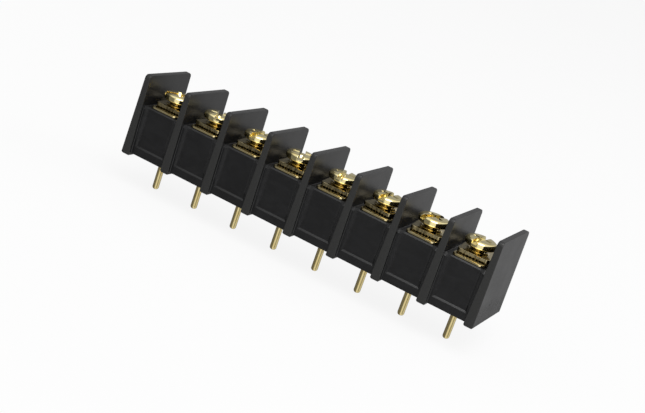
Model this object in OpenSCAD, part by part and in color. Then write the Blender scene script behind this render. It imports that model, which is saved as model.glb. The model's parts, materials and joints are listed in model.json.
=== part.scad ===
// Eight-way barrier terminal strip for a circuit board.
// Frame: X runs along the row of poles, the wires enter from the front (-Y),
// +Z points away from the board and z = 0 is the board's face under the barriers.

/* [Barriers] */
// Distance between neighbouring poles
pitch = 9.5; // [9:0.1:13]
// Depth of a barrier, from its front edge to its rear edge
barrier_d = 14.8; // [14:0.1:18]
// Height of a barrier above the board
barrier_h = 16.6; // [16:0.1:20]
// Thickness of a barrier at its top edge
barrier_top_t = 1.1; // [0.8:0.1:1.4]
// Thickness of a barrier where it stands on the board
barrier_foot_t = 1.8; // [1.5:0.1:2.2]
// Radius of the upper corners of a barrier
barrier_top_r = 0.8; // [0.3:0.1:2]
// Radius of the lower corners of a barrier
barrier_foot_r = 0.5; // [0.2:0.1:0.5]
// Chamfer along the lower edges of a barrier
barrier_foot_chamfer = 0.3; // [0.1:0.05:0.4]

/* [Base] */
// Gap between the board and the underside of the base
standoff_h = 0.6; // [0.5:0.05:1.5]
// Height of the deck that the plates lie on, above the board
deck_h = 10.45; // [10:0.05:12]
// How far the cell fronts lie behind the barriers' front edges
front_setback = 0.65; // [0.3:0.05:1]
// How far the rear of the base lies inside the barriers' rear edges
rear_setback = 0.6; // [0.3:0.05:1]
// Sunk depth of the panel in each cell front
panel_depth = 0.3; // [0.15:0.05:0.4]
// Width of the plain border beside the panel
panel_border = 0.7; // [0.3:0.05:1.2]
// Height of the sill under the panel, above the underside of the base
sill_h = 1.5; // [1:0.1:4]
// Chamfer along the deck's front edge
deck_chamfer = 0.25; // [0.1:0.05:0.3]
// Height of the lip behind the plates, above the deck
lip_h = 1.15; // [0.6:0.05:2]
// Wall behind the terminals' legs
rear_wall = 1.3; // [0.8:0.1:2]
// Gap around the metal inside the moulding
pocket_gap = 0.05; // [0.02:0.01:0.1]

/* [Terminals] */
// Thickness of the brass strip
strip_t = 0.5; // [0.4:0.05:0.7]
// Gap between a plate's side and the barrier beside it
plate_side_gap = 0.95; // [0.5:0.05:1.2]
// How far a plate lies behind the panel
plate_setback = 0.3; // [0.3:0.05:1]
// Corner radius of a plate's front corners
plate_corner_r = 1; // [0.4:0.1:1.5]
// Width of the leg that goes down inside the base
leg_w = 4; // [3:0.1:5]
// Inner radius of the strip's bends
bend_r = 0.4; // [0.2:0.05:0.6]
// Height of the lower run of the strip, above the underside of the base
tail_h = 2; // [1:0.1:2.5]
// Outer diameter of the drawn collar around the tapped hole
collar_d = 4.4; // [4:0.1:4.8]
// Depth of the drawn collar below the plate
collar_h = 1; // [0.6:0.1:1.4]

/* [Pins] */
// Diameter of a solder pin
pin_d = 1.3; // [1:0.05:1.5]
// Length of a pin below the board's face
pin_drop = 6.2; // [3:0.1:8]
// Rounding of a pin's end
pin_end_r = 0.45; // [0.1:0.05:0.5]
// Distance of the pins behind the barriers' front edges
pin_setback = 7; // [6.8:0.1:7.6]
// Diameter of a pin's shoulder inside the base
pin_shoulder_d = 2; // [1.8:0.1:2.4]
// Height of the head that rivets a pin to its strip
rivet_h = 0.3; // [0.2:0.05:0.4]

/* [Clamp washers] */
// Side of a square clamp washer
washer_w = 6.1; // [5:0.1:6.2]
// Thickness of a clamp washer
washer_t = 0.75; // [0.5:0.05:0.9]
// Corner radius of a clamp washer
washer_corner_r = 0.6; // [0.2:0.1:1]
// Gap between the plate and the washer above it
wire_gap = 0.1; // [0.08:0.01:0.6]
// Diameter of the raised ring around the washer's hole
washer_ring_d = 4.2; // [3.8:0.1:4.8]
// Height of the raised ring
washer_ring_h = 0.25; // [0.1:0.05:0.4]
// Radial gap between a washer and the screw in it
washer_play = 0.08; // [0.05:0.01:0.1]

/* [Screws] */
// Outer diameter of the screw's thread
thread_d = 3; // [2.5:0.1:3]
// Radial gap between the screw and its tapped hole
thread_gap = 0.04; // [0.02:0.01:0.08]
// Length of the screw under its head
screw_len = 7; // [5.5:0.1:7.5]
// Diameter of the screw's head
head_d = 5.9; // [5:0.1:6.4]
// Height of the screw's head
head_h = 1.35; // [1.2:0.05:1.8]
// Rounding of the head's upper edge
head_round = 0.75; // [0.3:0.05:0.8]
// Distance from the washer's top up to the head
head_gap = 1; // [0.6:0.1:1.6]
// Width of the screwdriver slot
slot_w = 1.2; // [0.8:0.1:1.4]
// Depth of the screwdriver slot
slot_depth = 0.85; // [0.5:0.05:0.9]
// Width of the arms of the cross recess
cross_w = 0.9; // [0.5:0.1:1]
// Span of the cross recess
cross_span = 3.6; // [2.5:0.1:4]
// Depth of the cross recess
cross_depth = 1.05; // [0.6:0.05:1.1]
// Chamfer at the screw's end
screw_end_chamfer = 0.4; // [0.1:0.1:0.6]
// Distance of the screws behind the barriers' front edges
screw_setback = 5.7; // [5.5:0.1:6.5]

/* [Hidden] */
$fn = 64;
poles = 8;
// How far each screw's slot is turned, pole by pole
slot_turn = [38, 112, 88, 114, 98, 77, 48, 75];
// How far each clamp washer is turned about its screw, pole by pole
washer_turn = [3, -4, 5, 2, 6, -7, 6, 5];

front_y = -barrier_d / 2;
rear_y = barrier_d / 2;
face_y = front_y + front_setback;
panel_y = face_y + panel_depth;
back_y = rear_y - rear_setback;
leg_back_y = back_y - rear_wall;
plate_front_y = panel_y + plate_setback;
screw_y = front_y + screw_setback;
pin_y = front_y + pin_setback;

plate_top_z = deck_h + strip_t;
tail_z = standoff_h + tail_h;
lip_top_z = deck_h + lip_h;
washer_z = plate_top_z + wire_gap;
washer_top_z = washer_z + washer_t;
head_z = washer_top_z + head_gap;
screw_end_z = head_z - screw_len;
tight_end_z = screw_end_z - head_gap - wire_gap;

bend_out_r = bend_r + strip_t;
strip_front_y = pin_y - pin_shoulder_d / 2 - 0.6;
deck_barrier_t = barrier_foot_t
    + (barrier_top_t - barrier_foot_t) * deck_h / barrier_h;
cell_w = pitch - deck_barrier_t;
plate_w = cell_w - 2 * plate_side_gap;
panel_w = pitch - barrier_foot_t - 2 * panel_border + 0.5;
base_w = poles * pitch;
tip_pocket_r = collar_d / 2 + pocket_gap;
tip_pocket_z = tight_end_z - 0.4;

// Centre of a pole, counted from 1 at the -X end
function pole_x(i) = (i - (poles + 1) / 2) * pitch;

// Moves its children to a pole
module at_pole(i) {
    translate([pole_x(i), 0, 0]) children();
}

// Stands a profile drawn in (Y, Z) up and makes it w wide, centred on X
module along_x(w) {
    translate([-w / 2, 0, 0])
        rotate([90, 0, 90])
            linear_extrude(w) children();
}

// Rectangle from corner a to corner b with its four corners rounded
module soft_rect(a, b, r) {
    translate([a[0] + r, a[1]]) square([b[0] - a[0] - 2 * r, b[1] - a[1]]);
    translate([a[0], a[1] + r]) square([b[0] - a[0], b[1] - a[1] - 2 * r]);
    for (x = [a[0] + r, b[0] - r])
        for (y = [a[1] + r, b[1] - r])
            translate([x, y]) circle(r);
}

// Side outline of a barrier: one radius above, another at the board
module barrier_side() {
    intersection() {
        soft_rect([front_y, -barrier_h], [rear_y, barrier_h], barrier_top_r);
        soft_rect([front_y, 0], [rear_y, 2 * barrier_h], barrier_foot_r);
    }
}

// Front outline of a barrier: it tapers upwards and is chamfered at the board
module barrier_front() {
    c = barrier_foot_chamfer;
    side_z = c;
    side_x = barrier_foot_t / 2
        + (barrier_top_t - barrier_foot_t) / 2 * side_z / barrier_h;
    polygon([
        [-barrier_top_t / 2, barrier_h],
        [-side_x, side_z],
        [-barrier_foot_t / 2 + c, 0],
        [barrier_foot_t / 2 - c, 0],
        [side_x, side_z],
        [barrier_top_t / 2, barrier_h]
    ]);
}

module barrier() {
    intersection() {
        translate([0, rear_y, 0])
            rotate([90, 0, 0])
                linear_extrude(barrier_d) barrier_front();
        along_x(2 * barrier_foot_t) barrier_side();
    }
}

// The block that joins the barriers, with its deck, front chamfer and lip
module base_side() {
    polygon([
        [face_y, standoff_h],
        [face_y, deck_h - deck_chamfer - panel_depth],
        [face_y + panel_depth + deck_chamfer, deck_h],
        [leg_back_y + pocket_gap, deck_h],
        [leg_back_y + pocket_gap, lip_top_z],
        [back_y, lip_top_z],
        [back_y, standoff_h]
    ]);
}

// Sunk panel in a cell front, with sloping borders at its sides and sill
module panel_cut() {
    z0 = standoff_h + sill_h;
    hw = panel_w / 2;
    intersection() {
        translate([0, 0, standoff_h])
            linear_extrude(deck_h)
                polygon([
                    [-hw - panel_depth, face_y - panel_depth],
                    [-hw + panel_depth, panel_y],
                    [hw - panel_depth, panel_y],
                    [hw + panel_depth, face_y - panel_depth]
                ]);
        along_x(pitch)
            polygon([
                [face_y - panel_depth, z0 - panel_depth],
                [panel_y, z0 + panel_depth],
                [panel_y, deck_h - deck_chamfer],
                [panel_y - deck_chamfer * 2, deck_h + deck_chamfer],
                [face_y - panel_depth, deck_h + deck_chamfer]
            ]);
    }
}

// Strip seen from the side: deck run, leg and lower run, grown by g all round
module strip_side(g) {
    difference() {
        soft_rect(
            [strip_front_y - g - 2 * bend_out_r, tail_z - g],
            [leg_back_y + g, plate_top_z + g],
            bend_out_r + g
        );
        soft_rect(
            [strip_front_y - 6 * bend_out_r, tail_z + strip_t + g],
            [leg_back_y - strip_t - g, plate_top_z - strip_t - g],
            bend_r - g
        );
        translate([strip_front_y - g - 3 * bend_out_r, tail_z - 1])
            square([3 * bend_out_r, barrier_h]);
    }
}

// Room inside the base for one strip, its screw and its pin
module pole_pocket() {
    along_x(leg_w + 2 * pocket_gap) strip_side(pocket_gap);
    translate([0, screw_y, tip_pocket_z])
        cylinder(h = deck_h - tip_pocket_z + 1, r = tip_pocket_r);
    translate([0, pin_y, standoff_h - 1])
        cylinder(h = tail_h + 1.5, r = pin_shoulder_d / 2 + pocket_gap);
    translate([0, pin_y, tail_z])
        cylinder(
            h = strip_t + rivet_h + 2 * pocket_gap,
            r = pin_shoulder_d / 2 + pocket_gap
        );
}

module housing() {
    color("#262626")
    difference() {
        union() {
            along_x(base_w) base_side();
            for (i = [0 : poles])
                translate([(i - poles / 2) * pitch, 0, 0]) barrier();
        }
        for (i = [1 : poles])
            at_pole(i) {
                panel_cut();
                pole_pocket();
            }
    }
}

// Outline of the plate under a screw, with rounded front corners
module plate_outline() {
    rear = leg_back_y - bend_out_r;
    intersection() {
        soft_rect(
            [-plate_w / 2, plate_front_y],
            [plate_w / 2, rear + 2 * plate_corner_r],
            plate_corner_r
        );
        translate([-plate_w, plate_front_y - 1])
            square([2 * plate_w, rear - plate_front_y + 1]);
    }
}

module terminal(i) {
    color("#cfa94a")
    at_pole(i)
        difference() {
            union() {
                translate([0, 0, deck_h]) linear_extrude(strip_t) plate_outline();
                along_x(leg_w) strip_side(0);
                translate([0, screw_y, deck_h - collar_h])
                    cylinder(h = collar_h + strip_t / 2, d = collar_d);
            }
            translate([0, screw_y, deck_h - collar_h - 1])
                cylinder(h = collar_h + strip_t + 2, d = thread_d + 2 * thread_gap);
            translate([0, pin_y, tail_z - 1])
                cylinder(h = strip_t + 2, d = pin_d + 0.04);
        }
}

// Half outline of a pin: rounded end, shank, shoulder, spigot and rivet head
module pin_outline() {
    r = pin_d / 2;
    shoulder_r = pin_shoulder_d / 2;
    translate([0, -pin_drop]) square([r - pin_end_r, pin_drop]);
    translate([0, -pin_drop + pin_end_r])
        square([r, pin_drop - pin_end_r + tail_z + strip_t + rivet_h]);
    intersection() {
        translate([r - pin_end_r, -pin_drop + pin_end_r]) circle(pin_end_r);
        translate([0, -pin_drop]) square([r, pin_drop]);
    }
    translate([0, standoff_h]) square([shoulder_r, tail_h]);
    translate([0, tail_z + strip_t]) square([shoulder_r - 0.1, rivet_h]);
}

module pin(i) {
    color("#d8bd6a")
    at_pole(i)
        translate([0, pin_y, 0])
            rotate_extrude() pin_outline();
}

module washer(i) {
    color("#d6b552")
    at_pole(i)
        translate([0, screw_y, washer_z])
            rotate([0, 0, washer_turn[i - 1]])
                difference() {
                    union() {
                        linear_extrude(washer_t)
                            soft_rect(
                                [-washer_w / 2, -washer_w / 2],
                                [washer_w / 2, washer_w / 2],
                                washer_corner_r
                            );
                        cylinder(h = washer_t + washer_ring_h, d = washer_ring_d);
                    }
                    translate([0, 0, -1])
                        cylinder(h = washer_t + 3, d = thread_d + 2 * washer_play);
                }
}

// Half outline of the pan head, with its upper edge rounded
module head_outline() {
    r = head_d / 2;
    e = head_round;
    square([r - e, head_h]);
    square([r, head_h - e]);
    intersection() {
        translate([r - e, head_h - e]) circle(e);
        square([r, head_h]);
    }
}

// Head and shank, standing where the screw stands
module screw_blank() {
    c = screw_end_chamfer;
    translate([0, 0, head_z]) rotate_extrude() head_outline();
    translate([0, 0, screw_end_z + c])
        cylinder(h = screw_len - c + head_h / 4, d = thread_d);
    translate([0, 0, screw_end_z])
        cylinder(h = c, d1 = thread_d - 2 * c, d2 = thread_d);
}

// Slot right across the head, with a shorter, deeper cross at its centre
module driver_recess() {
    top_z = head_z + head_h;
    translate([-head_d, -slot_w / 2, top_z - slot_depth])
        cube([2 * head_d, slot_w, head_h]);
    for (a = [0, 90])
        rotate([0, 0, a])
            translate([-cross_span / 2, -cross_w / 2, top_z - cross_depth])
                cube([cross_span, cross_w, head_h]);
}

module screw(i) {
    color("#e0c468")
    at_pole(i)
        translate([0, screw_y, 0])
            difference() {
                screw_blank();
                rotate([0, 0, slot_turn[i - 1]]) driver_recess();
            }
}

housing();

terminal(1);  // terminal_1
terminal(2);  // terminal_2
terminal(3);  // terminal_3
terminal(4);  // terminal_4
terminal(5);  // terminal_5
terminal(6);  // terminal_6
terminal(7);  // terminal_7
terminal(8);  // terminal_8

pin(1);  // pin_1
pin(2);  // pin_2
pin(3);  // pin_3
pin(4);  // pin_4
pin(5);  // pin_5
pin(6);  // pin_6
pin(7);  // pin_7
pin(8);  // pin_8

washer(1);  // washer_1
washer(2);  // washer_2
washer(3);  // washer_3
washer(4);  // washer_4
washer(5);  // washer_5
washer(6);  // washer_6
washer(7);  // washer_7
washer(8);  // washer_8

screw(1);  // screw_1
screw(2);  // screw_2
screw(3);  // screw_3
screw(4);  // screw_4
screw(5);  // screw_5
screw(6);  // screw_6
screw(7);  // screw_7
screw(8);  // screw_8
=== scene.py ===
"""Eight-way barrier terminal strip: black moulding, brass clamps and solder pins."""

import json
import math

import bmesh
import bpy
from bpy.props import (
    FloatProperty,
    FloatVectorProperty,
    IntProperty,
    PointerProperty,
)
from mathutils import Matrix, Vector

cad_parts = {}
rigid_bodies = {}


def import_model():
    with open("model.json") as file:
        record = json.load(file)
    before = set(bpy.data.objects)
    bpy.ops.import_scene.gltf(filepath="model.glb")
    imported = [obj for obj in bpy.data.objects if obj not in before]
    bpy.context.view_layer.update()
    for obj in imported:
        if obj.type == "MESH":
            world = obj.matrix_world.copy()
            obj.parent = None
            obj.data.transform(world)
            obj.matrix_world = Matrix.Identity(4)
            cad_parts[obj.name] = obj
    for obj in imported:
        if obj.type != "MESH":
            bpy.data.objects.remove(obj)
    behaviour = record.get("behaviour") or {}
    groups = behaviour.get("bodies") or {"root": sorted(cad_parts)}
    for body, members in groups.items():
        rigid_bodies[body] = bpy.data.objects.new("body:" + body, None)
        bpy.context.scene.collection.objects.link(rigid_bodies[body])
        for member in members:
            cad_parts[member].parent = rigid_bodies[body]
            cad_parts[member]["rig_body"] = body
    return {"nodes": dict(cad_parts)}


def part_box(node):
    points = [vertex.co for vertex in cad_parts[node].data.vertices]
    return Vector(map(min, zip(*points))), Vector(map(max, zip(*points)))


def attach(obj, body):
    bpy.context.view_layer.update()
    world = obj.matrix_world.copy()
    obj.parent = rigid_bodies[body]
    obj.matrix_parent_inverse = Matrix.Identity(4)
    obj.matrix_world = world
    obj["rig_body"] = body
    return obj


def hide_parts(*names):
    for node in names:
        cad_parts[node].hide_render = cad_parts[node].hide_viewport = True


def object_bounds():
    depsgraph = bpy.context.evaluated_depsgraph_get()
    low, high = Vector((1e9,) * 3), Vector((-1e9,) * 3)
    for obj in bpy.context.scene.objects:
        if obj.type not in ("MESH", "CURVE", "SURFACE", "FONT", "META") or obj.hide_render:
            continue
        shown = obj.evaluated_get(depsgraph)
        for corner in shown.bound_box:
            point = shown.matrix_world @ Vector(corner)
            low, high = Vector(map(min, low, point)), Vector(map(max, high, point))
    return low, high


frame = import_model()
CAD_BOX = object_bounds()

bl_info = {
    "name": "Barrier Terminal Strip",
    "version": (1, 0, 0),
    "blender": (4, 5, 0),
    "location": "View3D > Sidebar > Terminal Strip",
    "description": "Dresses an eight-way barrier terminal strip round its CAD frame",
    "category": "Object",
}

MM = 0.001
POLES = range(1, 9)
# How far each screw's slot and each clamp washer is turned in degrees, pole by pole
SLOT_TURN = (38, 112, 88, 114, 98, 84, 62, 83)
WASHER_TURN = (3, -4, 5, 2, 6, -7, 6, 5)
# In millimetres: how near counts as touching, and how near corners are merged
NEAR = 1e-4
MERGE = 1e-3


# ---------------------------------------------------------------- sizes


def node_box(node):
    """Lowest and highest corner of a CAD node in millimetres."""
    low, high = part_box(node)
    return low / MM, high / MM


def node_centre(node):
    """Centre of a CAD node's box in millimetres."""
    low, high = node_box(node)
    return (low + high) / 2


PITCH = node_centre("pin_2").x - node_centre("pin_1").x


def length(name, description, default):
    """A size in millimetres."""
    return FloatProperty(
        name=name,
        description=description + ", in millimetres",
        default=default,
        min=0.0,
        precision=3,
    )


def share(name, description, default):
    """A plain factor from 0 to 1."""
    return FloatProperty(
        name=name,
        description=description,
        default=default,
        min=0.0,
        max=1.0,
        subtype="FACTOR",
    )


def colour(name, description, default):
    """A linear colour."""
    return FloatVectorProperty(
        name=name,
        description=description,
        default=default,
        size=3,
        min=0.0,
        max=1.0,
        subtype="COLOR",
    )


def angle(name, description, default):
    """An angle, given in degrees."""
    return FloatProperty(
        name=name,
        description=description,
        default=math.radians(default),
        subtype="ANGLE",
    )


def lamp_power(name, description, default):
    """A lamp's power in watts."""
    return FloatProperty(
        name=name, description=description, default=default, min=0.0, unit="POWER"
    )


class MouldingSettings(bpy.types.PropertyGroup):
    """Edges and finish of the black moulding."""

    edge_radius: length("Edge radius", "Rounding of the moulding's edges", 0.13)
    mark_d: length("Mark diameter", "Diameter of the gate mark on an end face", 1.0)
    plastic: colour("Plastic", "Colour of the moulding", (0.0075, 0.0075, 0.008))
    # Paler plastic: painted sheen on the barriers' front edges, and wear on the end face
    plastic_sheen_and_wear: colour(
        "Plastic, dull", "Colour of dulled edges and wear", (0.022, 0.022, 0.021)
    )
    gloss_roughness: share("Roughness", "Roughness of the smooth faces", 0.34)
    dull_roughness: share("Dull roughness", "Roughness of the dulled edges", 0.62)


class TerminalSettings(bpy.types.PropertyGroup):
    """Edges and finish of the brass plates."""

    edge_radius: length("Edge radius", "Rounding of the stamped edges", 0.24)
    brass: colour("Brass", "Colour of the plates", (0.84, 0.72, 0.41))
    roughness: share("Roughness", "Roughness of the plates", 0.16)


class PinSettings(bpy.types.PropertyGroup):
    """Shape and finish of the solder pins."""

    sides: IntProperty(
        name="Sides", description="Facets round a pin", default=40, min=12, max=96
    )
    shank_d: length("Pin diameter", "Diameter of the part that is soldered", 1.3)
    tip_radius: length("Tip radius", "Rounding of a pin's tip", 0.5)
    # Darker than the other brass: painted shade standing in for the pins' shaded side
    brass: colour("Brass", "Colour of the pins", (0.7, 0.59, 0.3))
    roughness: share("Roughness", "Roughness of the pins", 0.2)


class WasherSettings(bpy.types.PropertyGroup):
    """Shape and finish of the square clamp washers."""

    corner_radius: length("Corner radius", "Radius of a washer's corners", 0.6)
    hole_d: length("Hole", "Diameter of the hole for the screw", 3.16)
    ring_d: length("Ring", "Diameter of the raised ring", 4.2)
    ring_h: length("Ring height", "Height of the raised ring", 0.25)
    tooth_pitch: length("Tooth pitch", "Distance between the gripping grooves", 0.61)
    tooth_depth: length("Tooth depth", "Depth of the gripping grooves", 0.17)
    edge_radius: length("Edge radius", "Rounding of the washer's edges", 0.13)
    brass: colour("Brass", "Colour of the washers", (0.8, 0.69, 0.41))
    roughness: share("Roughness", "Roughness of the washers", 0.12)


class ScrewSettings(bpy.types.PropertyGroup):
    """Shape and finish of the clamp screws."""

    head_h: length("Head height", "Height of the head", 1.55)
    head_crown: length("Head crown", "Rise of the head's top", 0.05)
    head_flat: length("Head flat", "Radius within which the head's top is flat", 2.1)
    head_low: length("Head low", "Where the head's upright side starts", 0.5)
    head_side: length("Head side", "Height of the head's upright side", 0.35)
    slot_w: length("Slot width", "Width of the screwdriver slot", 1.1)
    slot_depth: length("Slot depth", "Depth of the screwdriver slot", 0.8)
    cross_w: length("Cross width", "Width of the cross recess's arms", 0.9)
    cross_span: length("Cross span", "Span of the cross recess", 3.7)
    cross_depth: length("Cross depth", "Depth of the cross recess", 1.3)
    thread_d: length("Thread diameter", "Outer diameter of the thread", 3.0)
    thread_pitch: length("Thread pitch", "Distance between two turns", 0.5)
    thread_depth: length("Thread depth", "Depth of the thread", 0.28)
    edge_radius: length("Edge radius", "Rounding of the recess's edges", 0.042)
    brass: colour("Brass", "Colour of the screws", (0.84, 0.74, 0.4))
    roughness: share("Roughness", "Roughness of the screws", 0.1)


class StageSettings(bpy.types.PropertyGroup):
    """Floor, light and camera."""

    floor: colour("Floor", "Colour of the floor", (0.8, 0.8, 0.8))
    floor_d: length("Floor diameter", "Diameter of the floor", 3000.0)
    floor_white: share("Floor whiteness", "How much of the shadow is washed out", 0.88)
    ambient: share("Ambient", "Brightness of the room", 0.55)
    dark_side: share("Dark side", "How bright metal sees the room's left side", 0.2)
    low_shade: share("Low shade", "How much darker metal sees what is low behind", 0.45)
    back_shade: share("Back shade", "How much darker metal sees the room behind", 0.6)
    end_shade: share("End shade", "How much darker metal sees the far right", 0.6)
    key_power: lamp_power("Key lamp", "Power of the large lamp", 1.3)
    fill_power: lamp_power("Fill lamp", "Power of the small lamp", 0.35)
    azimuth: angle("Azimuth", "Where the camera stands, turned round Z", 22.0522)
    elevation: angle("Elevation", "How high the camera looks from", 16.8708)
    roll: angle("Roll", "How far the camera is rolled about its view", 19.4753)
    distance: length("Distance", "From the camera to the point it aims at", 237.7565)
    aim: FloatVectorProperty(
        name="Aim",
        description="Point that the camera aims at, in millimetres",
        default=(1.6251, 0.789, 5.5994),
        size=3,
    )
    lens: FloatProperty(
        name="Lens", description="Focal length in millimetres", default=70.506, min=1.0
    )


# ---------------------------------------------------------------- shader maths


class Wire:
    """A socket's value, which adds Math nodes when it is reckoned with."""

    def __init__(self, finish, socket):
        self.finish = finish
        self.socket = socket

    def _math(self, operation, *values):
        return self.finish.node(
            "ShaderNodeMath", {"operation": operation}, dict(enumerate(values))
        )

    def __add__(self, other):
        return self._math("ADD", self, other)

    def __radd__(self, other):
        return self._math("ADD", other, self)

    def __sub__(self, other):
        return self._math("SUBTRACT", self, other)

    def __rsub__(self, other):
        return self._math("SUBTRACT", other, self)

    def __mul__(self, other):
        return self._math("MULTIPLY", self, other)

    def __rmul__(self, other):
        return self._math("MULTIPLY", other, self)

    def __pow__(self, other):
        return self._math("POWER", self, other)

    def __rpow__(self, other):
        return self._math("POWER", other, self)

    def __abs__(self):
        return self._math("ABSOLUTE", self)

    def most(self, other):
        """The larger of two values."""
        return self._math("MAXIMUM", self, other)

    def ramp(self, low, high):
        """0 below low, 1 above high and smooth between them."""
        return self.finish.node(
            "ShaderNodeMapRange",
            {"interpolation_type": "SMOOTHSTEP"},
            {"Value": self, "From Min": low, "From Max": high},
        )

    def outputs(self, *names):
        """Other outputs of the node that this one comes from."""
        return [Wire(self.finish, self.socket.node.outputs[name]) for name in names]


class Finish:
    """A material or world under construction."""

    def __init__(self, owner):
        owner.use_nodes = True
        self.owner = owner
        self.tree = owner.node_tree
        self.tree.nodes.clear()

    def node(self, kind, settings=None, inputs=None, out=0):
        """Adds a node, sets it, fills its sockets and gives one output as a Wire."""
        made = self.tree.nodes.new(kind)
        for key, value in (settings or {}).items():
            setattr(made, key, value)
        for key, value in (inputs or {}).items():
            socket = made.inputs[key]
            if isinstance(value, Wire):
                self.tree.links.new(value.socket, socket)
            elif socket.type == "RGBA" and len(value) == 3:
                socket.default_value = (*value, 1.0)
            else:
                socket.default_value = value
        return Wire(self, made.outputs[out]) if made.outputs else None

    def place(self, scale=(1.0, 1.0, 1.0), turn=(0.0, 0.0, 0.0)):
        """Object coordinates in millimetres, scaled and turned."""
        coordinates = self.node("ShaderNodeTexCoord", out="Object")
        return self.node(
            "ShaderNodeMapping",
            {},
            {
                "Vector": coordinates,
                "Scale": tuple(s / MM for s in scale),
                "Rotation": turn,
            },
        )

    def axes(self, vector):
        """The X, Y and Z of a vector."""
        split = self.node("ShaderNodeSeparateXYZ", {}, {0: vector})
        return split.outputs("X", "Y", "Z")

    def rays(self):
        """1 for a camera ray, for a mirrored ray and for one seen through glass."""
        path = self.node("ShaderNodeLightPath")
        return path.outputs("Is Camera Ray", "Is Glossy Ray", "Is Transmission Ray")

    def noise(self, place, scale, detail=3.0, roughness=0.5, distortion=0.0):
        """Noise from 0 to 1, with scale cells to the millimetre."""
        return self.node(
            "ShaderNodeTexNoise",
            {},
            {
                "Vector": place,
                "Scale": scale,
                "Detail": detail,
                "Roughness": roughness,
                "Distortion": distortion,
            },
        )

    def mix(self, factor, low, high):
        """A mix of two colours."""
        return self.node(
            "ShaderNodeMix",
            {"data_type": "RGBA"},
            {0: factor, 6: low, 7: high},
            out=2,
        )

    def bump(self, height, strength, distance):
        """A normal from a height in millimetres times distance."""
        return self.node(
            "ShaderNodeBump",
            {},
            {"Height": height, "Strength": strength, "Distance": distance * MM},
        )

    def surface(self, inputs):
        """The Principled shader, wired to the output."""
        shader = self.node("ShaderNodeBsdfPrincipled", {}, inputs)
        self.node("ShaderNodeOutputMaterial", {}, {"Surface": shader})
        return self.owner


def black_plastic(settings):
    """Satin black moulding: flow marks, dulled barrier edges, scuffs, a gate mark."""
    paint = Finish(bpy.data.materials.new("black_moulding"))
    place = paint.place()
    low, high = node_box("housing")
    x, y, z = paint.axes(place)
    flow = paint.noise(paint.place((0.5, 0.35, 1.0)), 0.5, 4.0, 0.6, 1.2)
    cloud = paint.noise(place, 0.22, 2.0)
    grain = paint.noise(place, 5.5, 3.0, 0.65)
    scuffs = paint.noise(paint.place((0.25, 0.5, 3.2), (0.5, 0.2, 0.0)), 1.1, 5.0, 0.7)
    scuffed = scuffs.ramp(0.6, 0.78)

    # The barriers' front edges are made rougher and painted paler, a painted sheen for the
    # light they catch
    edges = 1.0 - y.ramp(low.y + 0.1, low.y + 0.35)

    # The slopes beside each sunk panel are only made rougher, found by how far from a
    # barrier they are
    slope_start, slope_end = (1.08, 1.12), (1.85, 1.9)
    front_wall, sill_top = (-6.0, -5.9), (3.4, 3.8)
    from_barrier = paint.node(
        "ShaderNodeMath", {"operation": "PINGPONG"}, {0: x, 1: PITCH / 2}
    )
    slopes = from_barrier.ramp(*slope_start) * (1.0 - from_barrier.ramp(*slope_end))
    slopes = slopes * (1.0 - y.ramp(*front_wall)) * z.ramp(*sill_top)

    # The right end face is worn and has the round mark of the gate near its foot
    gate_y, gate_z = -1.5, 4.07
    end_face = x.ramp(high.x - 0.1, high.x - 0.05)
    worn = end_face * grain.ramp(0.4, 0.62)
    from_gate = ((y - gate_y) ** 2 + (z - gate_z) ** 2) ** 0.5
    gate = (1.0 - abs(from_gate - settings.mark_d / 2).ramp(0.03, 0.16)) * end_face

    shade = paint.mix(
        flow.ramp(0.35, 0.7) * 0.6 + scuffed * 0.35,
        settings.plastic,
        tuple(1.9 * c for c in settings.plastic),
    )
    # Painted sheen: the barriers' front edges are mixed towards the paler plastic
    shade = paint.mix(edges, shade, settings.plastic_sheen_and_wear)
    shade = paint.mix(worn * 0.8, shade, settings.plastic_sheen_and_wear)
    rough = (
        settings.gloss_roughness
        + (cloud - 0.5) * 0.16
        + (grain - 0.5) * 0.1
        + scuffed * 0.12
        + edges * (settings.dull_roughness - settings.gloss_roughness)
        + slopes * 0.45
        + worn * 0.25
        + gate * 0.4
    )
    relief = grain * 0.6 + flow * 0.8 + scuffed * 0.25 - gate * 6.0
    return paint.surface(
        {
            "Base Color": shade,
            "Roughness": rough,
            "Normal": paint.bump(relief, 0.35, 0.02),
        }
    )


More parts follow.
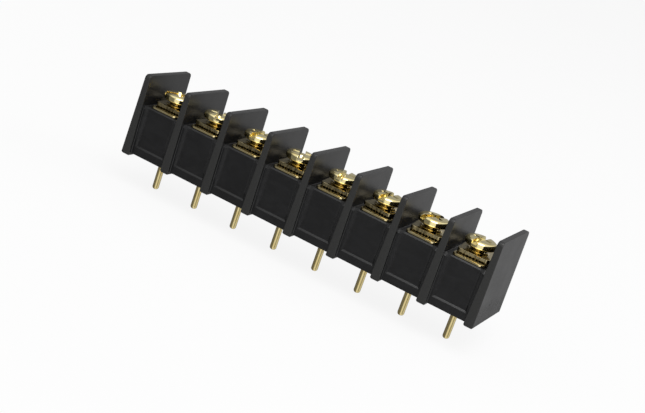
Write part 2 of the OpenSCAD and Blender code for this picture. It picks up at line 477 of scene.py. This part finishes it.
def plated_brass(name, brass, roughness, scratch_scale, facing_shade=0.0):
    """Bright plated brass: warm tarnish, fine scratches, and painted shade, streaked like
    sheared metal, on upright sides and flat tops.
    """
    paint = Finish(bpy.data.materials.new(name))
    place = paint.place()
    cloud = paint.noise(place, 0.9, 3.0, 0.55, 0.4)
    spots = paint.noise(place, 2.4, 2.0, 0.6)
    scratches = paint.noise(paint.place(scratch_scale), 2.0, 3.0, 0.6)
    spotted = spots.ramp(0.64, 0.76)
    warm = tuple(c * f for c, f in zip(brass, (0.95, 0.89, 0.74)))
    dark = tuple(c * f for c, f in zip(brass, (0.5, 0.42, 0.3)))
    shade = paint.mix(cloud.ramp(0.35, 0.75), brass, warm)
    shade = paint.mix(spotted * 0.45, shade, dark)
    # Painted shade: upright faces and flat tops darkened by the way they face, in streaks
    # like sheared metal
    if facing_shade:
        _, _, upward = paint.axes(paint.node("ShaderNodeTexCoord", out="Normal"))
        level = abs(upward)
        sides = 1.0 - level.ramp(0.2, 0.5)
        flats = level.ramp(0.93, 0.99) * 0.7
        streaks = paint.noise(paint.place((2.2, 2.2, 0.45)), 1.3, 2.0, 0.7, 0.6)
        streaked_shade = (0.5 + streaks.ramp(0.42, 0.6) * 0.5) * sides.most(flats)
        shade = paint.mix(streaked_shade * facing_shade, shade, tuple(c * 0.22 for c in warm))
    rough = (
        roughness + (cloud - 0.5) * 0.08 + (scratches - 0.5) * 0.08 + spotted * 0.08
    )
    height = scratches * 0.5 + spots * 0.5
    return paint.surface(
        {
            "Base Color": shade,
            "Metallic": 1.0,
            "Roughness": rough,
            "Normal": paint.bump(height, 0.4, 0.006),
        }
    )


# ---------------------------------------------------------------- mesh helpers


def bent_edges(bm, limit):
    """Edges whose two faces meet at more than limit degrees."""
    steep = math.radians(limit)
    return [
        e for e in bm.edges if len(e.link_faces) == 2 and e.calc_face_angle(0.0) > steep
    ]


def verts_of(made):
    """The vertices among what an operator made."""
    return [v for v in made["geom"] if isinstance(v, bmesh.types.BMVert)]


def edges_of(made):
    """The edges among what an operator made."""
    return [e for e in made["geom"] if isinstance(e, bmesh.types.BMEdge)]


def slice_at(bm, point, normal, clear=False):
    """Cuts every face along a plane, and clears what lies past it if asked."""
    bmesh.ops.bisect_plane(
        bm,
        geom=bm.verts[:] + bm.edges[:] + bm.faces[:],
        dist=NEAR,
        plane_co=point,
        plane_no=normal,
        clear_outer=clear,
    )


def out_from_axis(vert):
    """A vertex's distance from the Z axis."""
    return math.hypot(vert.co.x, vert.co.y)


def round_edges(bm, edges, radius):
    """Rounds edges with a bevel."""
    bmesh.ops.bevel(
        bm,
        geom=edges,
        offset=radius,
        offset_type="OFFSET",
        segments=2,
        profile=0.5,
        affect="EDGES",
        clamp_overlap=False,
        material=-1,
    )


def lathe(outline, sides):
    """Spins an outline of (radius, height) points round Z into a closed solid."""
    bm = bmesh.new()
    points = [bm.verts.new((r, 0.0, z)) for r, z in outline]
    line = [bm.edges.new(pair) for pair in zip(points, points[1:])]
    bmesh.ops.spin(
        bm,
        geom=points + line,
        cent=(0, 0, 0),
        axis=(0, 0, 1),
        angle=math.tau,
        steps=sides,
        use_merge=True,
    )
    bmesh.ops.remove_doubles(bm, verts=bm.verts, dist=NEAR)
    bmesh.ops.recalc_face_normals(bm, faces=bm.faces)
    return bm


def arc(centre, wide, tall, start, end, steps):
    """Points of an oval arc in (radius, height), from start to end degrees."""
    turns = [math.radians(start + (end - start) * k / steps) for k in range(steps + 1)]
    return [
        (centre[0] + wide * math.cos(t), centre[1] + tall * math.sin(t)) for t in turns
    ]


def block(size, centre, taper=1.0):
    """A box of a given size, narrowed towards its lower end by taper."""
    bm = bmesh.new()
    bmesh.ops.create_cube(bm, size=1.0)
    bmesh.ops.scale(bm, vec=size, verts=bm.verts)
    low = [v for v in bm.verts if v.co.z < 0]
    bmesh.ops.scale(bm, vec=(taper, taper, 1.0), verts=low)
    bmesh.ops.translate(bm, vec=centre, verts=bm.verts)
    return bm


def carve(solid, cutters):
    """Cuts solids from a solid with exact booleans and gives the result."""
    held = []
    for k, bm in enumerate([solid, *cutters]):
        mesh = bpy.data.meshes.new(f"carve_{k}")
        bm.to_mesh(mesh)
        bm.free()
        held.append(bpy.data.objects.new(f"carve_{k}", mesh))
        bpy.context.scene.collection.objects.link(held[-1])
    for cutter in held[1:]:
        cut = held[0].modifiers.new(cutter.name, "BOOLEAN")
        cut.operation = "DIFFERENCE"
        cut.solver = "EXACT"
        cut.object = cutter
    depsgraph = bpy.context.evaluated_depsgraph_get()
    result = bmesh.new()
    result.from_object(held[0], depsgraph)
    for item in held:
        mesh = item.data
        bpy.data.objects.remove(item)
        bpy.data.meshes.remove(mesh)
    return result


def put(bm, name, node, material, sharp=40.0):
    """Makes a mesh in millimetres the piece that stands for a CAD node."""
    bmesh.ops.scale(bm, vec=(MM, MM, MM), verts=bm.verts)
    for face in bm.faces:
        face.smooth = True
    for edge in bent_edges(bm, sharp):
        edge.smooth = False
    mesh = bpy.data.meshes.new(name)
    bm.to_mesh(mesh)
    bm.free()
    mesh.materials.append(material)
    piece = bpy.data.objects.new(name, mesh)
    bpy.context.scene.collection.objects.link(piece)
    even = piece.modifiers.new("even_shading", "WEIGHTED_NORMAL")
    even.keep_sharp = True
    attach(piece, frame["nodes"][node]["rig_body"])
    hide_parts(node)
    return piece


def turned_copy(bm, degrees, place):
    """A copy of a mesh, turned round Z and moved to its place."""
    copy = bm.copy()
    turn = Matrix.Rotation(math.radians(degrees), 4, "Z")
    bmesh.ops.transform(copy, matrix=Matrix.Translation(place) @ turn, verts=copy.verts)
    return copy


def merged_copy(node):
    """A CAD node's mesh in millimetres, with its loose triangles joined into faces."""
    weld = 0.002
    flat = math.radians(0.8)
    bm = bmesh.new()
    bm.from_mesh(frame["nodes"][node].data)
    bmesh.ops.scale(bm, vec=(1 / MM,) * 3, verts=bm.verts)
    bmesh.ops.remove_doubles(bm, verts=bm.verts, dist=weld)
    bmesh.ops.dissolve_limit(bm, angle_limit=flat, verts=bm.verts, edges=bm.edges)
    return bm


# ---------------------------------------------------------------- pieces


def housing_mesh(settings):
    """The moulding with the edges of its barriers rounded."""
    barrier_reach = 1.02
    shortest = 1.2
    above_deck = 12.0
    bm = merged_copy("housing")

    def on_barrier(edge):
        middle = (edge.verts[0].co + edge.verts[1].co) / 2
        poles_off = middle.x / PITCH
        beside = abs(poles_off - round(poles_off)) * PITCH < barrier_reach
        return beside and (edge.calc_length() > shortest or middle.z > above_deck)

    chosen = [e for e in bent_edges(bm, 25.0) if on_barrier(e)]
    round_edges(bm, chosen, settings.edge_radius)
    bmesh.ops.remove_doubles(bm, verts=bm.verts, dist=MERGE)
    return bm


def screw_mesh(settings):
    """Domed head with a slot and cross recess over a threaded shank, head at z=0."""
    low, high = node_box("screw_1")
    radius = (high.x - low.x) / 2
    head_h = settings.head_h
    flat = settings.head_flat
    reach = radius - flat
    low_z = settings.head_low
    high_z = low_z + settings.head_side
    under = (flat, low_z), reach, low_z
    over = (flat, high_z), reach, head_h - settings.head_crown - high_z
    outline = [(0.0, 0.0)]
    outline += arc(*under, -90, 0, 10)[:-1]
    outline += arc(*over, 0, 84, 12)
    last_r, last_z = outline[-1]
    for k in range(1, 7):
        r = last_r * (1 - k / 6)
        outline.append((r, last_z + (head_h - last_z) * (1 - (r / last_r) ** 2)))
    head = lathe(outline, 96)

    tall = settings.slot_depth + 1
    middle = (0, 0, head_h - settings.slot_depth + tall / 2)
    slot = block((4 * radius, settings.slot_w, tall), middle)
    # The arms narrow downwards, and are wider above the head than at its top
    above_head, above_wide, taper = 0.6, 1.18, 0.42
    tall = settings.cross_depth + above_head
    middle = (0, 0, head_h - settings.cross_depth + tall / 2)
    wide = settings.cross_span * above_wide
    arms = [
        block((wide, settings.cross_w, tall), middle, taper),
        block((settings.cross_w, wide, tall), middle, taper),
    ]
    head = carve(head, [slot, *arms])
    bmesh.ops.remove_doubles(head, verts=head.verts, dist=MERGE)
    round_edges(head, bent_edges(head, 32.0), settings.edge_radius)

    shank = thread_mesh(settings, high.z - low.z - head_h)
    shank_mesh = bpy.data.meshes.new("shank")
    shank.to_mesh(shank_mesh)
    shank.free()
    head.from_mesh(shank_mesh)
    bpy.data.meshes.remove(shank_mesh)
    return head


def thread_mesh(settings, reach):
    """The threaded shank under the head, which ends inside the head."""
    crest = settings.thread_d / 2
    root = crest - settings.thread_depth
    pitch = settings.thread_pitch
    turns = math.ceil(reach / pitch) + 3
    steps = 40
    chamfer = 0.4
    inside_head = 0.3
    bm = bmesh.new()
    # One turn's radius and height, with the height as a share of the pitch
    profile = [
        (root, 0.0),
        (root, 0.12),
        (crest, 0.44),
        (crest, 0.56),
        (root, 0.88),
        (root, 1.0),
    ]
    base = -reach - 1.5 * pitch
    points = [bm.verts.new((r, 0.0, base + t * pitch)) for r, t in profile]
    line = [bm.edges.new(pair) for pair in zip(points, points[1:])]
    bmesh.ops.spin(
        bm,
        geom=points + line,
        cent=(0, 0, 0),
        axis=(0, 0, 1),
        dvec=(0, 0, pitch / steps),
        angle=math.tau * turns,
        steps=steps * turns,
    )
    bmesh.ops.remove_doubles(bm, verts=bm.verts, dist=MERGE)
    slice_at(bm, (0, 0, -reach), (0, 0, -1), clear=True)
    slice_at(bm, (0, 0, inside_head), (0, 0, 1), clear=True)
    for v in bm.verts:
        allowed = crest - chamfer + (v.co.z + reach)
        radius = out_from_axis(v)
        if radius > allowed:
            v.co.x *= allowed / radius
            v.co.y *= allowed / radius
    open_edges = [e for e in bm.edges if e.is_boundary]
    bmesh.ops.holes_fill(bm, edges=open_edges, sides=0)
    bmesh.ops.recalc_face_normals(bm, faces=bm.faces)
    return bm


def washer_plan(settings, side):
    """A flat rounded square with a hole, and edges where the raised ring stands."""
    bm = bmesh.new()
    bmesh.ops.create_grid(bm, x_segments=1, y_segments=1, size=side / 2)
    bmesh.ops.bevel(
        bm,
        geom=bm.verts[:],
        offset=settings.corner_radius,
        segments=8,
        profile=0.5,
        affect="VERTICES",
        material=-1,
    )
    bmesh.ops.delete(bm, geom=bm.faces[:], context="FACES_ONLY")
    rim = bm.edges[:]
    bmesh.ops.create_circle(bm, radius=settings.hole_d / 2, segments=64)
    hole = [e for e in bm.edges if e not in rim]
    grown = bmesh.ops.extrude_edge_only(bm, edges=hole)
    outer = verts_of(grown)
    wider = settings.ring_d / settings.hole_d
    bmesh.ops.scale(bm, vec=(wider, wider, 1), verts=outer)
    ring = [e for e in edges_of(grown) if all(v in outer for v in e.verts)]
    bmesh.ops.triangle_fill(bm, use_beauty=True, edges=rim + ring)
    bmesh.ops.recalc_face_normals(bm, faces=bm.faces)
    return bm


def washer_mesh(settings):
    """Square washer with a raised ring and gripping grooves, centred, foot at z=0."""
    low, high = node_box("washer_1")
    turn = math.radians(abs(WASHER_TURN[0]))
    radius = settings.corner_radius
    straight = (high.x - low.x - 2 * radius) / (math.cos(turn) + math.sin(turn))
    side = straight + 2 * radius
    thick = high.z - low.z - settings.ring_h
    ring_r = settings.ring_d / 2
    ring_taper = 0.93

    bm = washer_plan(settings, side)
    lifted = bmesh.ops.extrude_face_region(bm, geom=bm.faces[:], use_keep_orig=True)
    bmesh.ops.translate(bm, vec=(0, 0, thick), verts=verts_of(lifted))
    ring_faces = [
        f
        for f in bm.faces
        if f.calc_center_median().z > thick - NEAR
        and all(out_from_axis(v) < ring_r + MERGE for v in f.verts)
    ]
    crown = verts_of(bmesh.ops.extrude_face_region(bm, geom=ring_faces))
    bmesh.ops.delete(bm, geom=ring_faces, context="FACES_ONLY")
    bmesh.ops.translate(bm, vec=(0, 0, settings.ring_h), verts=crown)
    crown_rim = [v for v in crown if out_from_axis(v) > ring_r - MERGE]
    bmesh.ops.scale(bm, vec=(ring_taper, ring_taper, 1), verts=crown_rim)
    bmesh.ops.remove_doubles(bm, verts=bm.verts, dist=NEAR)
    bmesh.ops.recalc_face_normals(bm, faces=bm.faces)
    upper = [
        e
        for e in bent_edges(bm, 50.0)
        if (e.verts[0].co.z + e.verts[1].co.z) / 2 > thick - NEAR
    ]
    round_edges(bm, upper, settings.edge_radius)

    # The foot rises and falls in a zigzag, which the faces are sliced for first
    half = settings.tooth_pitch / 2
    count = int(side / 2 / half)
    for k in range(-count, count + 1):
        slice_at(bm, (k * half, 0, 0), (1, 0, 0))
    for v in bm.verts:
        if v.co.z < NEAR:
            v.co.z = settings.tooth_depth * (1 - abs((v.co.x / half % 2) - 1))
    return bm


def pin_mesh(settings):
    """A pin with a rounded tip, a shoulder in the base and a rivet head, on Z."""
    low, high = node_box("pin_1")
    shoulder = (high.x - low.x) / 2
    radius = settings.shank_d / 2
    tip = settings.tip_radius
    shoulder_foot, shoulder_top = 0.6, 2.6
    rivet_foot, rivet_r, rivet_top_r = 3.15, shoulder - 0.1, shoulder - 0.25
    outline = [(0.0, low.z)]
    outline += arc((radius - tip, low.z + tip), tip, tip, -90, 0, 7)
    outline += [
        (radius, shoulder_foot),
        (shoulder, shoulder_foot),
        (shoulder, shoulder_top),
        (radius, shoulder_top),
        (radius, rivet_foot),
        (rivet_r, rivet_foot),
        (rivet_top_r, high.z),
        (0.0, high.z),
    ]
    return lathe(outline, settings.sides)


# ---------------------------------------------------------------- stage


def make_camera(scene, settings):
    """The camera on its line of view, rolled about it."""
    data = bpy.data.cameras.new("camera")
    data.lens = settings.lens
    data.sensor_width = 36.0
    data.clip_start = 0.005
    data.clip_end = 20.0
    camera = bpy.data.objects.new("camera", data)
    scene.collection.objects.link(camera)
    turn = (
        Matrix.Rotation(settings.azimuth, 4, "Z")
        @ Matrix.Rotation(math.pi / 2 - settings.elevation, 4, "X")
        @ Matrix.Rotation(settings.roll, 4, "Z")
    )
    back = turn.to_3x3() @ Vector((0, 0, 1))
    place = Vector(settings.aim) + back * settings.distance
    camera.matrix_world = Matrix.Translation(place * MM) @ turn
    scene.camera = camera


def make_floor(scene, settings):
    """A round pale floor under the tips of the pins."""
    low, _ = CAD_BOX
    gap = 0.02 * MM
    bm = bmesh.new()
    bmesh.ops.create_circle(
        bm, cap_ends=True, radius=settings.floor_d / 2 * MM, segments=96
    )
    bmesh.ops.translate(bm, vec=(0, 0, low.z - gap), verts=bm.verts)
    mesh = bpy.data.meshes.new("floor")
    bm.to_mesh(mesh)
    bm.free()
    paint = Finish(bpy.data.materials.new("floor_paint"))
    tone = paint.noise(paint.place(), 0.02, 2.0)
    shade = paint.mix(tone, tuple(c * 0.97 for c in settings.floor), settings.floor)
    matt = paint.node("ShaderNodeBsdfDiffuse", {}, {"Color": shade, "Roughness": 0.5})
    white = paint.node("ShaderNodeEmission", {}, {"Color": (1, 1, 1), "Strength": 1.0})
    seen, mirrored, clear = paint.rays()
    part = (seen * settings.floor_white).most(clear).most(mirrored)
    both = paint.node("ShaderNodeMixShader", {}, {0: part, 1: matt, 2: white})
    paint.node("ShaderNodeOutputMaterial", {}, {"Surface": both})
    mesh.materials.append(paint.owner)
    floor = bpy.data.objects.new("floor", mesh)
    floor.visible_glossy = False
    scene.collection.objects.link(floor)


def make_lamps(scene, settings):
    """A large soft lamp above and a small one at the right."""
    for name, power, size, place in (
        ("key_lamp", settings.key_power, 0.35, (0.12, -0.2, 0.45)),
        ("fill_lamp", settings.fill_power, 0.2, (0.35, 0.12, 0.25)),
    ):
        data = bpy.data.lights.new(name, "AREA")
        data.shape = "DISK"
        data.size = size
        data.energy = power
        lamp = bpy.data.objects.new(name, data)
        lamp.location = place
        lamp.rotation_mode = "QUATERNION"
        lamp.rotation_quaternion = Vector(place).to_track_quat("Z", "Y")
        scene.collection.objects.link(lamp)


def make_world(scene, settings):
    """A white room, in which metal sees some sides darker, as between dark screens."""
    paint = Finish(bpy.data.worlds.new("room"))
    seen, mirrored, clear = paint.rays()
    x, y, z = paint.axes(paint.node("ShaderNodeTexCoord", out="Generated"))
    behind = y.ramp(0.2, 0.7)
    lit_side = (x + y * 0.1 + behind * 0.35).ramp(-0.25, 0.0)
    room = settings.dark_side + (1 - settings.dark_side) * lit_side
    room = room * (1 - settings.low_shade * (1 - z.ramp(-0.2, 0.1)) * behind)
    room = room * (1 - behind * (1 - x.ramp(0.0, 0.3)) * settings.back_shade)
    far_right = x.ramp(0.6, 0.8) * (1 - y.ramp(-0.2, 0.2))
    room = room * (1 - far_right * settings.end_shade)
    room = room.most(z.ramp(0.6, 0.9))
    strength = settings.ambient + seen.most(clear) * (1 - settings.ambient)
    strength = strength + mirrored * (room - settings.ambient)
    sky = paint.node(
        "ShaderNodeBackground", {}, {"Color": (1, 1, 1), "Strength": strength}
    )
    paint.node("ShaderNodeOutputWorld", {}, {"Surface": sky})
    scene.world = paint.owner


# ---------------------------------------------------------------- operators


class STRIP_OT_housing(bpy.types.Operator):
    """Make the black moulding with its rounded edges"""

    bl_idname = "strip.housing"
    bl_label = "Moulding"

    def execute(self, context):
        settings = context.scene.strip_moulding
        put(
            housing_mesh(settings),
            "moulding",
            "housing",
            black_plastic(settings),
            30.0,
        )
        return {"FINISHED"}


class STRIP_OT_terminals(bpy.types.Operator):
    """Make the eight brass plates with their folded legs"""

    bl_idname = "strip.terminals"
    bl_label = "Terminal plates"

    def execute(self, context):
        settings = context.scene.strip_terminal
        brass = plated_brass(
            "plate_brass", settings.brass, settings.roughness, (0.4, 3.0, 3.0)
        )
        for i in POLES:
            bm = merged_copy(f"terminal_{i}")
            round_edges(bm, bent_edges(bm, 40.0), settings.edge_radius)
            put(bm, f"plate_{i}", f"terminal_{i}", brass, 30.0)
        return {"FINISHED"}


class STRIP_OT_pins(bpy.types.Operator):
    """Make the eight solder pins"""

    bl_idname = "strip.pins"
    bl_label = "Solder pins"

    def execute(self, context):
        settings = context.scene.strip_pin
        brass = plated_brass(
            "pin_brass", settings.brass, settings.roughness, (2.5, 2.5, 0.25)
        )
        blank = pin_mesh(settings)
        for i in POLES:
            centre = node_centre(f"pin_{i}")
            bm = turned_copy(blank, 0, (centre.x, centre.y, 0))
            put(bm, f"solder_pin_{i}", f"pin_{i}", brass)
        blank.free()
        return {"FINISHED"}


class STRIP_OT_washers(bpy.types.Operator):
    """Make the eight grooved clamp washers"""

    bl_idname = "strip.washers"
    bl_label = "Clamp washers"

    def execute(self, context):
        settings = context.scene.strip_washer
        brass = plated_brass(
            "washer_brass", settings.brass, settings.roughness, (2.0, 0.5, 2.0), 0.95
        )
        blank = washer_mesh(settings)
        for i, turn in zip(POLES, WASHER_TURN):
            low, _ = node_box(f"washer_{i}")
            centre = node_centre(f"washer_{i}")
            bm = turned_copy(blank, turn, (centre.x, centre.y, low.z))
            put(bm, f"clamp_washer_{i}", f"washer_{i}", brass, 35.0)
        blank.free()
        return {"FINISHED"}


class STRIP_OT_screws(bpy.types.Operator):
    """Make the eight clamp screws"""

    bl_idname = "strip.screws"
    bl_label = "Clamp screws"

    def execute(self, context):
        settings = context.scene.strip_screw
        brass = plated_brass(
            "screw_brass", settings.brass, settings.roughness, (1.5, 1.5, 1.5)
        )
        blank = screw_mesh(settings)
        for i, turn in zip(POLES, SLOT_TURN):
            _, high = node_box(f"screw_{i}")
            centre = node_centre(f"screw_{i}")
            place = (centre.x, centre.y, high.z - settings.head_h)
            bm = turned_copy(blank, turn, place)
            put(bm, f"clamp_screw_{i}", f"screw_{i}", brass, 35.0)
        blank.free()
        return {"FINISHED"}


class STRIP_OT_stage(bpy.types.Operator):
    """Make the floor, the light and the camera"""

    bl_idname = "strip.stage"
    bl_label = "Stage"

    def execute(self, context):
        settings = context.scene.strip_stage
        scene = context.scene
        make_camera(scene, settings)
        make_floor(scene, settings)
        make_lamps(scene, settings)
        make_world(scene, settings)
        scene.view_settings.view_transform = "Standard"
        return {"FINISHED"}


class STRIP_PT_panel(bpy.types.Panel):
    """The strip's pieces and their sizes"""

    bl_idname = "STRIP_PT_panel"
    bl_label = "Terminal Strip"
    bl_space_type = "VIEW_3D"
    bl_region_type = "UI"
    bl_category = "Terminal Strip"

    def draw(self, context):
        for operator, name in OPERATORS:
            column = self.layout.box().column(align=True)
            column.operator(operator.bl_idname)
            settings = getattr(context.scene, name)
            for key in settings.__annotations__:
                column.prop(settings, key)


OPERATORS = (
    (STRIP_OT_stage, "strip_stage"),
    (STRIP_OT_housing, "strip_moulding"),
    (STRIP_OT_terminals, "strip_terminal"),
    (STRIP_OT_pins, "strip_pin"),
    (STRIP_OT_washers, "strip_washer"),
    (STRIP_OT_screws, "strip_screw"),
)
SETTINGS = {
    "strip_stage": StageSettings,
    "strip_moulding": MouldingSettings,
    "strip_terminal": TerminalSettings,
    "strip_pin": PinSettings,
    "strip_washer": WasherSettings,
    "strip_screw": ScrewSettings,
}
CLASSES = (*SETTINGS.values(), *(made for made, _ in OPERATORS), STRIP_PT_panel)


def register():
    for made in CLASSES:
        bpy.utils.register_class(made)
    for name, kind in SETTINGS.items():
        setattr(bpy.types.Scene, name, PointerProperty(type=kind))


def unregister():
    for name in SETTINGS:
        delattr(bpy.types.Scene, name)
    for made in reversed(CLASSES):
        bpy.utils.unregister_class(made)


def main():
    register()
    for made, _ in OPERATORS:
        getattr(bpy.ops.strip, made.bl_idname.split(".")[1])()


if __name__ == "__main__":
    main()
